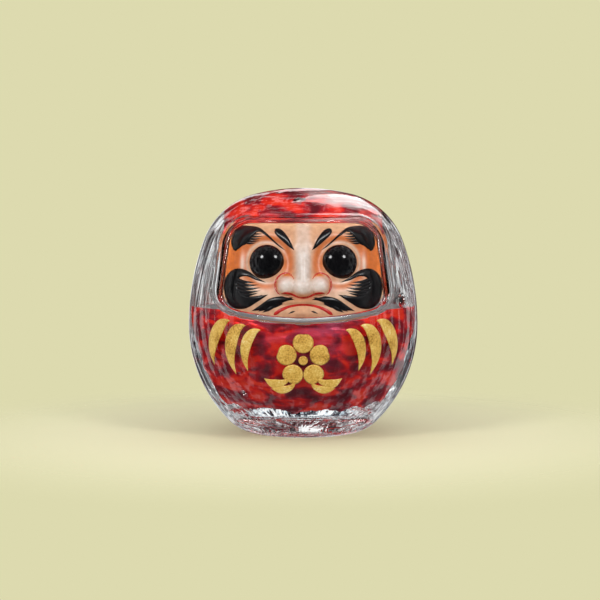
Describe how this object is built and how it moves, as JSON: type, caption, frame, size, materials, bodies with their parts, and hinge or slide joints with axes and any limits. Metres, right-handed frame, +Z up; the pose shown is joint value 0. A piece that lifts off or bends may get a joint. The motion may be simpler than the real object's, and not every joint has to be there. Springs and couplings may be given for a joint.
{
  "type": "glass daruma doll",
  "caption": "Hollow clear-glass round wishing doll with red robe and hood liners inside, a framed painted porcelain face and raised gold strokes.",
  "frame": {"origin": "centre of the foot, on the surface the doll stands on", "axes": "+Z up, the doll looks along -Y, +X towards the doll's own left hand"},
  "size_m": [0.1032, 0.1039, 0.11],
  "materials": {
    "clear_glass": "polished",
    "red_foil": "hammered metallic lacquer",
    "porcelain": "painted and glazed",
    "black_enamel": "glossy, brushed on thick",
    "black_glass": "polished",
    "red_enamel": "glossy",
    "gold": "raised gilding",
    "clear_bond": "clear cured resin"
  },
  "bodies": {
    "root": {"beard_left": "black_enamel", "beard_right": "black_enamel", "brow_left": "black_enamel", "brow_right": "black_enamel", "chest_emblem": "gold", "chin_marks": "black_enamel", "eye_left": "black_glass", "eye_right": "black_glass", "face_frame": "clear_glass", "face_plate": "porcelain", "frame_bond": "clear_bond", "frown_left": "black_enamel", "frown_right": "black_enamel", "glass_bead": "clear_glass", "hood_liner": "red_foil", "moustache_left": "black_enamel", "moustache_right": "black_enamel", "mouth_line": "red_enamel", "robe_liner": "red_foil", "robe_stroke_left_inner": "gold", "robe_stroke_left_middle": "gold", "robe_stroke_left_outer": "gold", "robe_stroke_right_inner": "gold", "robe_stroke_right_middle": "gold", "robe_stroke_right_outer": "gold", "shell_back": "clear_glass", "shell_front": "clear_glass"}
  },
  "joints": []
}
